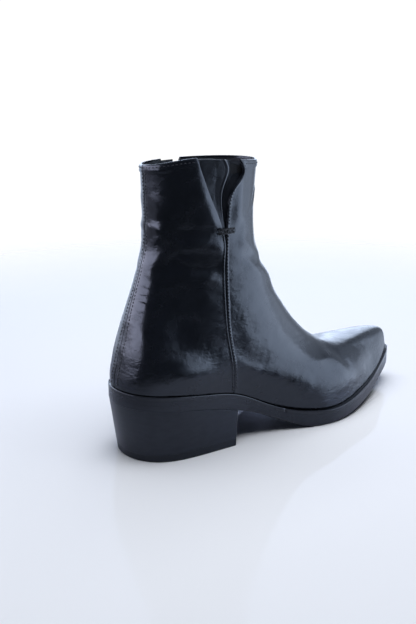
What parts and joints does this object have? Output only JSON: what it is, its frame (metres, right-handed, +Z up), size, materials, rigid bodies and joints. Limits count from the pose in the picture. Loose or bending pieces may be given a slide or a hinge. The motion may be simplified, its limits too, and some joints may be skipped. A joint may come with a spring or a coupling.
{
  "type": "western ankle boot",
  "caption": "Right ankle boot with pointed toe, stacked block heel, pleated side gusset and a working inner side zip.",
  "frame": {"origin": "middle of the boot's footprint at floor level", "axes": "+X to the toe, +Y to the inner (zip) side, +Z up"},
  "size_m": [0.3032, 0.0932, 0.2336],
  "materials": {
    "polished_calf": "glazed, hand-polished smooth calf",
    "soft_calf": "soft satin calf",
    "black_sole_leather": "black-dyed, burnished edge",
    "black_welt": "black, waxed gloss",
    "black_heel": "black-dyed stacked leather, satin",
    "black_rubber": "matt black",
    "cork": "granulated cork",
    "tempered_steel": "plain",
    "leather_board": "pressed fibre board",
    "lining_leather": "black lining leather, matt",
    "waxed_thread": "waxed polyester thread",
    "zip_tape": "woven black tape",
    "nickel": "polished nickel"
  },
  "bodies": {
    "boot": {"outsole": "black_sole_leather", "midsole": "black_sole_leather", "welt": "black_welt", "heel_rand": "black_welt", "heel_block": "black_heel", "heel_top_lift": "black_rubber", "cork_filler": "cork", "steel_shank": "tempered_steel", "insole_board": "leather_board", "sock_liner": "lining_leather", "front_panel": "polished_calf", "quarter_outer": "polished_calf", "quarter_inner": "polished_calf", "side_gusset": "soft_calf", "gusset_bar_tack": "waxed_thread", "heel_counter": "leather_board", "toe_puff": "leather_board", "lining_front": "lining_leather", "lining_quarter_outer": "lining_leather", "lining_quarter_inner": "lining_leather", "zip_tape_front": "zip_tape", "zip_tape_rear": "zip_tape", "zip_teeth_front": "nickel", "zip_teeth_rear": "nickel", "zip_top_stop_front": "nickel", "zip_top_stop_rear": "nickel", "zip_bottom_stop": "nickel"},
    "slider": {"zip_slider": "nickel"},
    "bail": {"zip_bail": "nickel"},
    "pull_tab": {"zip_pull_tab": "nickel"}
  },
  "joints": [
    {"name": "zip_slide", "type": "slide", "parent": "boot", "child": "slider", "axis": [0.0982, 0, -0.9952], "range_m": [0, 0.127]},
    {"name": "bail_swing", "type": "hinge", "parent": "slider", "child": "bail", "pos_m": [-0.07512, 0.03232, 0.21584], "axis": [0.9952, 0, 0.0982], "range_deg": [0, 90]},
    {"name": "tab_swing", "type": "hinge", "parent": "bail", "child": "pull_tab", "pos_m": [-0.07424, 0.03232, 0.20688], "axis": [0.9952, 0, 0.0982], "range_deg": [0, 90]}
  ]
}
